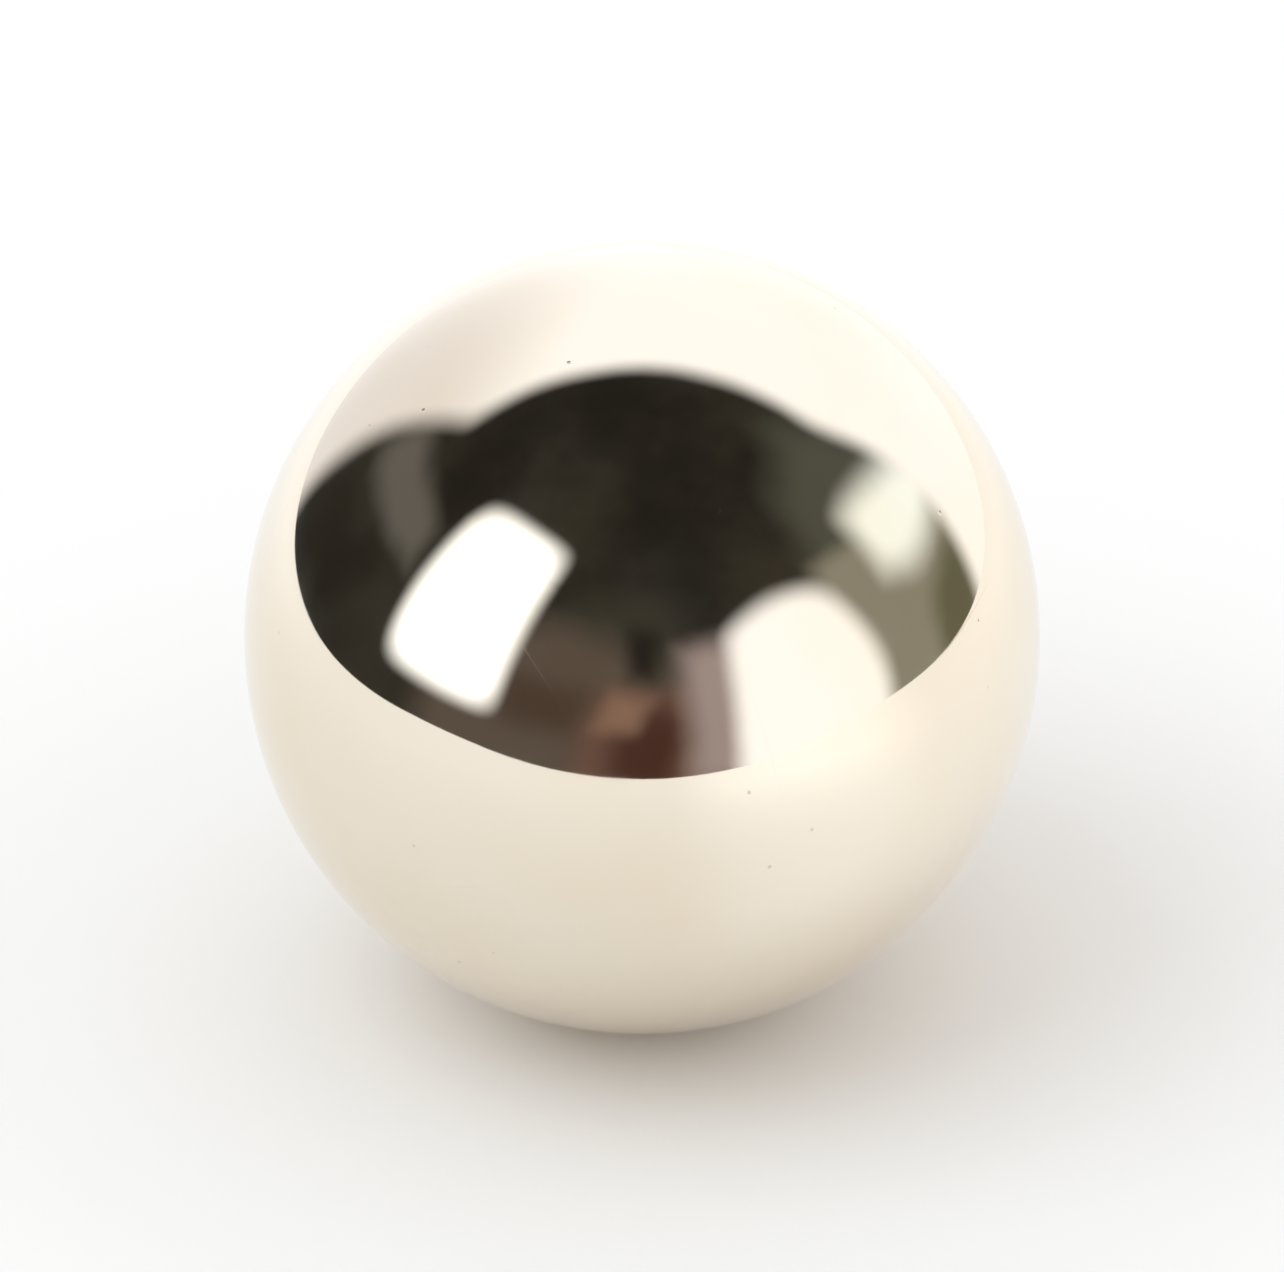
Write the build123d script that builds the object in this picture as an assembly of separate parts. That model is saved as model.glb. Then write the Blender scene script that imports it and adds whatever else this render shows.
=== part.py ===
from build123d import *
import os

# Sphere magnet: one ball of sintered neodymium magnet, ground round and nickel plated all over.
# It's one piece with one face. It has no hole, flat, parting line or seam, and its poles don't show.
# The origin is the ball's centre. +Z runs along the magnetic axis, towards the north pole.
# All sizes are in millimetres.

ball_diameter = 5.0  # over the plating, as a ball is sold and gauged

ball_radius = ball_diameter / 2


def make_magnet_ball():
    """The ground ball: a half round, from pole to pole, turned once about the magnetic axis."""
    with BuildPart() as ball:
        with BuildSketch(Plane.XZ):
            with BuildLine():
                half_round = CenterArc((0, 0), ball_radius, -90, 180)
                Line(half_round @ 1, half_round @ 0)
            make_face()
        revolve(axis=Axis.Z)
    return ball.part


def write_part(name, solid):
    """Writes one sub-part to parts/NAME.step and says what was written."""
    os.makedirs("parts", exist_ok=True)
    solid.label = name
    export_step(solid, f"parts/{name}.step")
    box = solid.bounding_box().size
    print(f"{name}: {box.X:.3f} x {box.Y:.3f} x {box.Z:.3f} mm, {solid.volume:.3f} mm3")


write_part("magnet_ball", make_magnet_ball())
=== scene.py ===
import math
import random

import bmesh
import bpy
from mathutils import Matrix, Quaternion, Vector, noise


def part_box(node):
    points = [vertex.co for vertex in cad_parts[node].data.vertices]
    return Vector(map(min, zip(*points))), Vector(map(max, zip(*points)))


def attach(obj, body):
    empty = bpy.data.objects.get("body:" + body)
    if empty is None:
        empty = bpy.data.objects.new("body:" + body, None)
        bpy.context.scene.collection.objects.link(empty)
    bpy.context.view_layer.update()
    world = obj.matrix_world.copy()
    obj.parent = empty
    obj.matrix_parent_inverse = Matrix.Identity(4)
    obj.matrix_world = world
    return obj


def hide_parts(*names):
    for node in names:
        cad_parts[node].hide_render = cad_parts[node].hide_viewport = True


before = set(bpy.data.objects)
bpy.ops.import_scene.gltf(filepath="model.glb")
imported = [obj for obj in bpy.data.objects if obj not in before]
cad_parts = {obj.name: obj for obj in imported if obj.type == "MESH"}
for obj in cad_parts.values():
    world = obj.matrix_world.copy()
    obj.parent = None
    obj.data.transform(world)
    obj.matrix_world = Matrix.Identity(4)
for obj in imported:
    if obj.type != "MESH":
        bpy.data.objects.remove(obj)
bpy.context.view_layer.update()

ballLow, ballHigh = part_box("magnet_ball")
ballRadius = (ballHigh.z - ballLow.z) / 2
upwards = Vector((0, 0, 1))
millimetres = 1000  # in a metre
plainWhite = (1, 1, 1, 1)
random.seed(5)  # the rubs fall the same way on every run
print("frame: a ball of", round(2 * ballRadius * millimetres, 3), "mm")


class Socket:
    # wraps an output socket, so that shader maths reads as plain sums

    def __init__(self, shader, link):
        self.shader = shader
        self.link = link

    def __add__(self, other):
        return self.shader.maths("ADD", self, other)

    def __radd__(self, other):
        return self.shader.maths("ADD", other, self)

    def __sub__(self, other):
        return self.shader.maths("SUBTRACT", self, other)

    def __rsub__(self, other):
        return self.shader.maths("SUBTRACT", other, self)

    def __mul__(self, other):
        return self.shader.maths("MULTIPLY", self, other)

    def __rmul__(self, other):
        return self.shader.maths("MULTIPLY", other, self)

    def __abs__(self):
        return self.shader.maths("ABSOLUTE", self)


def isValue(term):
    # a number, or a socket that carries one
    return isinstance(term, (int, float)) or isinstance(term, Socket) and term.link.type == "VALUE"


class Shader:
    # fills one node tree: node() makes whatever a sum can't say

    def __init__(self, tree):
        self.tree = tree
        tree.nodes.clear()

    def node(self, kind, settings=None, values=None, out=0):
        made = self.tree.nodes.new("ShaderNode" + kind)
        for name, setting in (settings or {}).items():
            setattr(made, name, setting)
        for name, value in (values or {}).items():
            if isinstance(value, Socket):
                self.tree.links.new(value.link, made.inputs[name])
            else:
                made.inputs[name].default_value = value
        return Socket(self, made.outputs[out]) if made.outputs else made

    def maths(self, operation, *terms):
        if all(isValue(term) for term in terms):
            return self.node("Math", {"operation": operation}, dict(enumerate(terms)))
        terms = [(term,) * 3 if isinstance(term, (int, float)) else term for term in terms]
        return self.node("VectorMath", {"operation": operation}, dict(enumerate(terms)))

    def along(self, vector, axis):  # how far a vector reaches along an axis
        return self.node("VectorMath", {"operation": "DOT_PRODUCT"}, {0: vector, 1: axis}, "Value")

    def ease(self, value, low, high, start=0.0, end=1.0):  # start below low, end above high
        return self.node("MapRange", {"interpolation_type": "SMOOTHSTEP"}, {
            "Value": value, "From Min": low, "From Max": high, "To Min": start, "To Max": end})

    def mix(self, share, first, second):  # two colours
        return self.node("Mix", {"data_type": "RGBA"}, {0: share, 6: first, 7: second}, 2)


# where things stand round the ball

photoView = {
    "azimuth": -31.7,  # degrees round the ball: 0 looks along +Y
    "elevation": 29.9,
    "distance": 0.15,
    "fill": 0.62,  # of the picture's width, taken by the ball
    "sensor": 36.0,
}


def towards(azimuth, elevation):
    # azimuth counts from the camera's heading, plus to the picture's right
    turn = math.radians(photoView["azimuth"] + azimuth)
    rise = math.radians(elevation)
    return Vector((math.sin(turn) * math.cos(rise), -math.cos(turn) * math.cos(rise), math.sin(rise)))


def makeCamera():
    frameWidth = 2 * ballRadius / photoView["fill"]
    camera = bpy.data.objects.new("photoCamera", bpy.data.cameras.new("photoCamera"))
    camera.data.sensor_width = photoView["sensor"]
    camera.data.lens = photoView["sensor"] * photoView["distance"] / frameWidth
    camera.data.clip_start = ballRadius
    heading = towards(0, photoView["elevation"])
    camera.location = heading * photoView["distance"]
    camera.rotation_euler = heading.to_track_quat("Z", "Y").to_euler()
    bpy.context.scene.collection.objects.link(camera)
    bpy.context.scene.camera = camera
    print("camera:", round(camera.data.lens), "mm lens")


makeCamera()


# the studio that the plating mirrors, and the light on the sheet

studio = {
    "fill": (0.875, 0.86, 0.845, 1),  # light from all round, on the sheet
    "dark": (0.012, 0.0105, 0.006, 1),  # the room round the cards, in its darkest patches
    "dim": (0.036, 0.031, 0.021, 1),  # and in its lightest ones
    "patchNoise": {"Scale": 1.6, "Detail": 4.0},
    "patchEdge": (0.3, 0.7),  # where the noise turns from dark to dim
    "raggedNoise": {"Scale": 3.0},  # makes the cards' outlines uneven
    "dimSide": (-125, 8),  # azimuth and elevation where a card with a dimmer colour is dimmest
    "dimEdge": (0.6, 0.95),  # cosines of the angle from there, where it starts and is full
}

# corners as (azimuth, elevation) in degrees, anticlockwise as the ball shows them
# soft (the width of the edge) and round (the corners) are degrees too
# ragged is how far the outline wavers, and a later card covers the ones before it
cards = {
    "frontWall": {
        "corners": [(-40, 10), (14, 10), (8, 36), (-28, 38)],
        "colour": (0.042, 0.042, 0.03, 1),
        "soft": 18, "round": 10, "ragged": 0.15,
    },
    "sideWall": {
        "corners": [(64, 22), (118, 22), (112, 58), (72, 54)],
        "colour": (0.085, 0.09, 0.07, 1),
        "soft": 18, "round": 10, "ragged": 0.15,
    },
    "lowWall": {
        "corners": [(-68, -16), (24, -16), (20, 8), (-9, 30), (-40, 30), (-66, 10)],
        "colour": (0.112, 0.088, 0.072, 1),
        "soft": 15, "round": 12, "ragged": 0.12,
    },
    "lowShade": {
        "corners": [(-43, 0), (-17, 0), (-16, 13), (-42, 14)],
        "colour": (0.078, 0.052, 0.038, 1),
        "soft": 10, "round": 8, "ragged": 0.08,
    },
    "greyStreak": {
        "corners": [(-124, 20), (-84, 21), (-84, 33), (-124, 34)],
        "colour": (0.135, 0.13, 0.12, 1),
        "soft": 9, "round": 6, "ragged": 0.1,
    },
    "brownCard": {
        "corners": [(-20, -16), (27, -16), (28, 13), (8, 16), (-14, 13)],
        "colour": (0.15, 0.085, 0.065, 1),
        "soft": 9, "round": 8, "ragged": 0.12,
    },
    "redCard": {
        "corners": [(-11, -16), (8, -16), (13, 3), (6, 10), (-7, 4)],
        "colour": (0.07, 0.027, 0.017, 1),
        "soft": 11, "round": 6, "ragged": 0.1,
    },
    "tanCard": {
        "corners": [(-14, 2), (-2, 1), (2, 11), (-9, 14)],
        "colour": (0.27, 0.17, 0.125, 1),
        "soft": 8, "round": 5, "ragged": 0.1,
    },
    "gapShade": {
        "corners": [(-4, 18), (4, 17), (5, 31), (-4, 32)],
        "colour": (0.012, 0.009, 0.004, 1),
        "soft": 8, "round": 5, "ragged": 0.04,
    },
    "pinkCard": {
        "corners": [(15, -14), (34, -14), (34, 26), (12, 25)],
        "colour": (0.395, 0.325, 0.325, 1),
        "soft": 12, "round": 5, "ragged": 0.06,
    },
    "greyPanel": {
        "corners": [(66, -16), (132, -16), (128, 8), (112, 19), (88, 31), (64, 34)],
        "colour": (0.295, 0.29, 0.24, 1),
        "soft": 8, "round": 6, "ragged": 0.06,
    },
    "oliveShade": {
        "corners": [(96, -14), (126, -14), (122, 4), (106, 8), (96, 3)],
        "colour": (0.14, 0.14, 0.085, 1),
        "soft": 10, "round": 8, "ragged": 0.08,
    },
    "sideCard": {
        "corners": [(86, 19), (97, 13), (126, 12), (122, 26), (106, 33), (96, 38), (86, 36)],
        "colour": (1.18, 1.28, 1.29, 1),
        "soft": 12, "round": 6, "ragged": 0.04,
    },
    "whiteCard": {
        "corners": [(27, -34), (73, -34), (75, 2), (70, 18), (64, 28), (52, 33), (36, 32), (27, 27)],
        "colour": (1.28, 1.3, 1.35, 1),
        "soft": 9, "round": 6, "ragged": 0.02,
    },
    "softbox": {
        "corners": [(-79, 3), (-44, 2), (-33, 49), (-75, 48)],
        "colour": (2.25, 2.35, 2.45, 1),
        "soft": 9, "round": 12, "ragged": 0.0,
    },
    "backdrop": {
        "corners": [(116, -14), (220, -14), (242, 45), (116, 46)],
        "colour": (1.26, 1.28, 1.33, 1),
        "dimmer": (0.95, 0.93, 0.945, 1),  # its far left
        "soft": 9, "round": 4, "ragged": 0.03,
    },
}


def inside(shader, direction, card):
    # 1 where a direction falls on the card: on the inner side of all its edges
    corners = [towards(*corner) for corner in card["corners"]]
    rounding = math.radians(card["round"])
    soft = math.radians(card["soft"])
    reach = None
    for corner, following in zip(corners, corners[1:] + corners[:1]):
        edge = shader.along(direction, corner.cross(following).normalized())
        reach = edge if reach is None else shader.maths("SMOOTH_MIN", reach, edge, rounding)
    return shader.ease(reach, -soft / 2, soft / 2)


def makeStudio():
    world = bpy.data.worlds.new("studio")
    bpy.context.scene.world = world
    world.use_nodes = True
    shader = Shader(world.node_tree)
    direction = shader.node("TexCoord", out="Generated")
    patches = shader.node("TexNoise", values={"Vector": direction, **studio["patchNoise"]})
    seen = shader.mix(shader.ease(patches, *studio["patchEdge"]), studio["dark"], studio["dim"])
    ragged = shader.node("TexNoise", values={"Vector": direction, **studio["raggedNoise"]}, out="Color")
    uneven = ragged - 0.5  # as much to one side as to the other
    for card in cards.values():
        bent = direction + uneven * card["ragged"]
        colour = card["colour"]
        if "dimmer" in card:
            leftward = shader.along(direction, towards(*studio["dimSide"]))
            colour = shader.mix(shader.ease(leftward, *studio["dimEdge"]), colour, card["dimmer"])
        seen = shader.mix(inside(shader, bent, card), seen, colour)
    mirrored = shader.node("Background", values={"Color": seen})
    filling = shader.node("Background", values={"Color": studio["fill"]})
    white = shader.node("Background", values={"Color": plainWhite})
    glossy = shader.node("LightPath", out="Is Glossy Ray")
    straight = shader.node("LightPath", out="Is Camera Ray")
    light = shader.node("MixShader", values={0: glossy, 1: filling, 2: mirrored})
    light = shader.node("MixShader", values={0: straight, 1: light, 2: white})
    shader.node("OutputWorld", values={"Surface": light})
    print("studio:", len(cards), "cards")


keyLamp = {
    "azimuth": -66,
    "elevation": 52,
    "distance": 0.3,  # metres, as the side is
    "side": 0.26,
    "level": 0.17,  # of white, on the sheet
    "colour": (0.82, 0.93, 1.0),
}


def makeKeyLamp():
    light = bpy.data.lights.new("keyLamp", "AREA")
    light.size = keyLamp["side"]
    fall = math.sin(math.radians(keyLamp["elevation"]))  # the lamp's light falls aslant
    light.energy = keyLamp["level"] * 4 * math.pi * keyLamp["distance"] ** 2 / fall
    light.color = keyLamp["colour"]
    lamp = bpy.data.objects.new("keyLamp", light)
    heading = towards(keyLamp["azimuth"], keyLamp["elevation"])
    lamp.location = heading * keyLamp["distance"]
    lamp.rotation_euler = heading.to_track_quat("Z", "Y").to_euler()
    lamp.visible_camera = lamp.visible_glossy = False
    bpy.context.scene.collection.objects.link(lamp)
    print("key lamp:", round(light.energy, 2), "W")


makeStudio()
makeKeyLamp()


# the white sheet under the ball

sheet = {
    "front": 0.0162,  # its edges, as far from the ball as the mirrored ones look
    "back": 0.045,
    "left": 0.0225,
    "right": 0.03,
    "squareness": 0.45,  # 1 makes it round, near 0 a rectangle
    "corners": 144,  # points along its outline
    "colour": (0.97, 0.97, 0.97, 1),
    "warm": (0.97, 0.955, 0.94, 1),  # painted bounce light: close to the ball the sheet's colour turns warm, standing in for light that the plating warms
    "paintedWarmFrom": ballRadius / 2,
    "paintedWarmTo": 0.004,
    "fadeFrom": 0.0042,  # where the seen sheet starts to melt into the white round it
    "fadeTo": 0.0075,
    "spill": 0.01,  # added to a glow's width, as a cosine
}

# painted light on the sheet: a glow that only mirrored rays see, standing in for the studio's light as the
# ball mirrors it; no lamp casts it
# aim is an azimuth, wide the degrees to either side, near and far metres from the ball
paintedGlows = [
    {"aim": 0, "wide": 180, "near": 0.004, "far": 0.014, "level": 0.06},
    {"aim": 44, "wide": 38, "near": 0.004, "far": 0.014, "level": 0.17},
    {"aim": 75, "wide": 75, "near": 0.0005, "far": 0.004, "level": 0.12},
    {"aim": 180, "wide": 105, "near": 0.004, "far": 0.02, "level": 0.2},
]


def whitePaper():
    material = bpy.data.materials.new("whiteSheet")
    material.use_nodes = True
    shader = Shader(material.node_tree)
    place = shader.node("NewGeometry", out="Position") * (1, 1, 0)  # along the sheet only
    away = shader.node("VectorMath", {"operation": "LENGTH"}, {0: place}, "Value")
    bearing = shader.node("VectorMath", {"operation": "NORMALIZE"}, {0: place})
    straight = shader.node("LightPath", out="Is Camera Ray")
    glossy = shader.node("LightPath", out="Is Glossy Ray")
    paintedGleam = 0.0
    # painted light: sectors of glow on the sheet, made brighter than the lamps light it
    for glow in paintedGlows:
        facing = shader.along(bearing, towards(glow["aim"], 0))
        sector = shader.ease(facing, math.cos(math.radians(glow["wide"])) - sheet["spill"], 1.0)
        paintedGleam = sector * shader.ease(away, glow["near"], glow["far"]) * glow["level"] + paintedGleam
    # painted bounce light: the paper is mixed warmer near the ball, rather than lit warmer
    beyondPaintedWarmth = shader.ease(away, sheet["paintedWarmFrom"], sheet["paintedWarmTo"])
    colour = shader.mix(beyondPaintedWarmth, sheet["warm"], sheet["colour"])
    paper = shader.node("BsdfDiffuse", values={"Color": colour})
    # painted light: the glow is emitted only for glossy rays, so the ball mirrors a brighter sheet than
    # the camera sees
    paintedShine = shader.node("Emission", values={"Color": paintedGleam * glossy, "Strength": 1.0})
    lit = shader.node("AddShader", values={0: paper, 1: paintedShine})
    white = shader.node("Emission", values={"Color": plainWhite, "Strength": 1.0})
    fade = straight * shader.ease(away, sheet["fadeFrom"], sheet["fadeTo"])
    faded = shader.node("MixShader", values={0: fade, 1: lit, 2: white})
    below = shader.node("NewGeometry", out="Backfacing")
    clear = shader.node("BsdfTransparent")  # from below, the ball is seen through the sheet
    surface = shader.node("MixShader", values={0: straight * below, 1: faded, 2: clear})
    shader.node("OutputMaterial", values={"Surface": surface})
    return material


def makeSheet():
    drawn = bmesh.new()
    corners = []
    for number in range(sheet["corners"]):
        turn = math.tau * number / sheet["corners"]
        ahead = math.copysign(abs(math.cos(turn)) ** sheet["squareness"], math.cos(turn))
        aside = math.copysign(abs(math.sin(turn)) ** sheet["squareness"], math.sin(turn))
        place = towards(0, 0) * ahead * (sheet["front"] if ahead > 0 else sheet["back"])
        place += towards(90, 0) * aside * (sheet["right"] if aside > 0 else sheet["left"])
        corners.append(drawn.verts.new(place - upwards * ballRadius))
    drawn.faces.new(corners)
    drawn.normal_update()
    mesh = bpy.data.meshes.new("whiteSheet")
    drawn.to_mesh(mesh)
    drawn.free()
    mesh.materials.append(whitePaper())
    laid = bpy.data.objects.new("whiteSheet", mesh)
    bpy.context.scene.collection.objects.link(laid)
    print("sheet: faces", "up" if mesh.polygons[0].normal.z > 0 else "down")


makeSheet()


# the magnet ball

ball = {
    "cells": 96,  # along each edge of the cube that the round grid is spread from
    "waves": [(0.00042, 0.22e-6), (0.0011, 0.5e-6)],  # length and height of the plating's soft ripple
}

nickel = {
    "colour": (0.83, 0.755, 0.64, 1),
    "warm": (0.825, 0.73, 0.59, 1),
    "warmNoise": {"Scale": 0.5, "Detail": 4.0},
    "warmEdge": (0.4, 0.65),  # where the noise turns from plain to warm
    "roughness": 0.03,
    "haze": 0.035,  # more roughness where the polish is faintly clouded
    "hazeNoise": {"Scale": 0.8, "Detail": 5.0, "Roughness": 0.6},
    "hazeEdge": (0.45, 0.75),  # where the noise turns from clear to clouded
    "hazeShift": 20,  # so that the clouding doesn't follow the warm patches
    "veil": 0.2,  # the thin halo that fine wear lays over the mirror
    "veilHaze": 0.5,  # more of it where the polish is clouded
    "veilRoughness": 0.35,
    "peel": 0.2,  # height of the fine unevenness, in thousandths of a millimetre
    "peelNoise": {"Scale": 2.6, "Detail": 3.0},
    "bumpUnit": 1e-6,  # a thousandth of a millimetre
    "pits": 3.0,  # places for a pinhole along each millimetre
    "pitSize": 0.055,  # share of that spacing
    "pitTaper": 3,  # times as wide at the mouth as at the floor
    "pitDepth": 0.8,  # in thousandths of a millimetre
    "pitColour": (0.42, 0.37, 0.3, 1),
    "pitShade": 0.5,  # how much of that colour shows
    "pitRoughness": 0.2,
    "rubs": 26,
    "strands": 4,  # the most hairlines in one rub
    "rubTilt": 0.35,  # how far a rub may stray from a great circle
    "rubWidth": 0.03,  # lengths and widths in millimetres
    "rubLength": (0.4, 1.5),
    "rubFull": 0.25,  # share of the length that is at full strength
    "hairWidth": (0.003, 0.006),
    "hairStrength": (0.3, 1.0),
    "hairRoughness": 0.2,
}


def rubMarks(shader, place):
    # a rub leaves a few hairlines side by side, each where a plane cuts the ball
    marks = 0.0
    for number in range(nickel["rubs"]):
        middle = Vector([random.gauss(0, 1) for axis in range(3)]).normalized()
        across = middle.orthogonal().normalized()
        across.rotate(Quaternion(middle, random.uniform(0, math.tau)))
        across = (across + middle * random.uniform(-nickel["rubTilt"], nickel["rubTilt"])).normalized()
        middle *= ballRadius * millimetres
        side = shader.along(place, across)
        reach = shader.node("VectorMath", {"operation": "DISTANCE"}, {0: place, 1: middle}, "Value")
        length = random.uniform(*nickel["rubLength"])
        strip = shader.ease(reach, length * nickel["rubFull"], length, 1.0, 0.0)
        for strand in range(random.randint(1, nickel["strands"])):
            offset = middle.dot(across) + random.gauss(0, nickel["rubWidth"])
            width = random.uniform(*nickel["hairWidth"])
            strength = random.uniform(*nickel["hairStrength"])
            marks = strip * shader.ease(abs(side - offset), 0.0, width, strength, 0.0) + marks
    return marks


def pinholes(shader, place):
    spots = shader.node("TexVoronoi", values={"Vector": place, "Scale": nickel["pits"]}, out="Distance")
    return shader.ease(spots, nickel["pitSize"] / nickel["pitTaper"], nickel["pitSize"], 1.0, 0.0)


def nickelPlating():
    material = bpy.data.materials.new("nickelPlating")
    material.use_nodes = True
    shader = Shader(material.node_tree)
    place = shader.node("TexCoord", out="Object") * millimetres
    clouds = shader.node("TexNoise", values={"Vector": place, **nickel["warmNoise"]})
    smears = shader.node("TexNoise", values={"Vector": place + nickel["hazeShift"], **nickel["hazeNoise"]})
    peel = shader.node("TexNoise", values={"Vector": place, **nickel["peelNoise"]})
    pits = pinholes(shader, place)
    hairs = rubMarks(shader, place)
    haze = shader.ease(smears, *nickel["hazeEdge"])
    colour = shader.mix(shader.ease(clouds, *nickel["warmEdge"]), nickel["colour"], nickel["warm"])
    colour = shader.mix(pits * nickel["pitShade"], colour, nickel["pitColour"])
    roughness = nickel["roughness"] + haze * nickel["haze"]
    roughness = roughness + hairs * nickel["hairRoughness"] + pits * nickel["pitRoughness"]
    height = peel * nickel["peel"] - pits * nickel["pitDepth"]
    surface = shader.node("BsdfPrincipled", values={
        "Base Color": colour,
        "Metallic": 1.0,
        "Roughness": roughness,
        "Coat Weight": nickel["veil"] + haze * nickel["veilHaze"],
        "Coat Roughness": nickel["veilRoughness"],
        "Normal": shader.node("Bump", values={"Height": height, "Distance": nickel["bumpUnit"]})})
    shader.node("OutputMaterial", values={"Surface": surface})
    return material


def roundGrid():
    # a cube's grid spread evenly over the sphere, with the plating's ripple on it
    mesh = bpy.data.meshes.new("magnetBall")
    drawn = bmesh.new()
    bmesh.ops.create_cube(drawn, size=2)
    bmesh.ops.subdivide_edges(drawn, edges=drawn.edges, cuts=ball["cells"] - 1, use_grid_fill=True)
    for vertex in drawn.verts:
        outward = Vector([math.tan(reach * math.pi / 4) for reach in vertex.co]).normalized()
        vertex.co = outward * ballRadius
        ripple = sum(height * noise.noise(vertex.co / length) for length, height in ball["waves"])
        vertex.co += outward * ripple
    for face in drawn.faces:
        face.smooth = True
    drawn.to_mesh(mesh)
    drawn.free()
    return mesh


def makeBall():
    mesh = roundGrid()
    mesh.materials.append(nickelPlating())
    piece = bpy.data.objects.new("magnetBall", mesh)
    bpy.context.scene.collection.objects.link(piece)
    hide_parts("magnet_ball")
    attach(piece, "root")
    print("ball:", len(mesh.polygons), "faces")


makeBall()

bpy.context.scene.view_settings.view_transform = "Standard"
bpy.context.view_layer.update()
